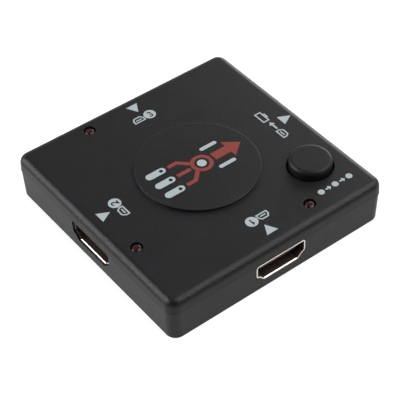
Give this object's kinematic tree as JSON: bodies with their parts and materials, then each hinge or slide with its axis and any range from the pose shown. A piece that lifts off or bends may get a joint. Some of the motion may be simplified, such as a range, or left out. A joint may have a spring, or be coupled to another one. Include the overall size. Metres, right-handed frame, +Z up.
{
  "type": "video switch box",
  "caption": "Flat square switch box that joins one of several video sources to one screen, with a round push button, lamps and a socket in each side.",
  "frame": {"origin": "middle of the underside, on the surface that the box stands on", "axes": "+Z up; -Y out of the wall of input 1, -X of input 2, +Y of input 3 and +X of the output"},
  "size_m": [0.064, 0.064, 0.0148],
  "materials": {
    "case_plastic": "fine grained, satin",
    "button_plastic": "smooth matt",
    "lamp_red": "polished, see-through",
    "socket_steel": "bright nickel over steel",
    "socket_plastic": "moulded",
    "contact_gold": "gold flashed",
    "screw_steel": "blackened",
    "board_laminate": "solder mask",
    "switch_plastic": "moulded",
    "tinned_steel": "tinned",
    "chip_resin": "moulded",
    "can_aluminium": "drawn",
    "resistor_glaze": "glazed",
    "capacitor_ceramic": "fired",
    "legend_ink": "pad printed",
    "emblem_red": "pad printed"
  },
  "bodies": {
    "case": {"capacitor_base": "switch_plastic", "capacitor_can": "can_aluminium", "case_screws": "screw_steel", "ceramic_capacitors": "capacitor_ceramic", "circuit_board": "board_laminate", "end_caps": "tinned_steel", "input_1_lamp_leads": "tinned_steel", "input_1_lamp_lens": "lamp_red", "input_1_socket_body": "socket_plastic", "input_1_socket_contacts": "contact_gold", "input_1_socket_shell": "socket_steel", "input_2_lamp_leads": "tinned_steel", "input_2_lamp_lens": "lamp_red", "input_2_socket_body": "socket_plastic", "input_2_socket_contacts": "contact_gold", "input_2_socket_shell": "socket_steel", "input_3_lamp_leads": "tinned_steel", "input_3_lamp_lens": "lamp_red", "input_3_socket_body": "socket_plastic", "input_3_socket_contacts": "contact_gold", "input_3_socket_shell": "socket_steel", "lower_shell": "case_plastic", "memory_chip_1": "chip_resin", "memory_chip_1_pins": "tinned_steel", "memory_chip_2": "chip_resin", "memory_chip_2_pins": "tinned_steel", "memory_chip_3": "chip_resin", "memory_chip_3_pins": "tinned_steel", "output_socket_body": "socket_plastic", "output_socket_contacts": "contact_gold", "output_socket_shell": "socket_steel", "regulator": "chip_resin", "regulator_pins": "tinned_steel", "resistors": "resistor_glaze", "selector_chip": "chip_resin", "selector_chip_pins": "tinned_steel", "switch_body": "switch_plastic", "switch_dome": "tinned_steel", "switch_lid": "tinned_steel", "switch_terminals": "tinned_steel", "upper_shell": "case_plastic"},
    "button": {"push_button": "button_plastic", "switch_stem": "switch_plastic"}
  },
  "joints": [
    {"name": "button_press", "type": "slide", "parent": "case", "child": "button", "axis": [0, 0, -1], "range_m": [0, 0.0003], "stiffness_N_per_m": 5000, "deforming": ["switch_dome"]}
  ]
}
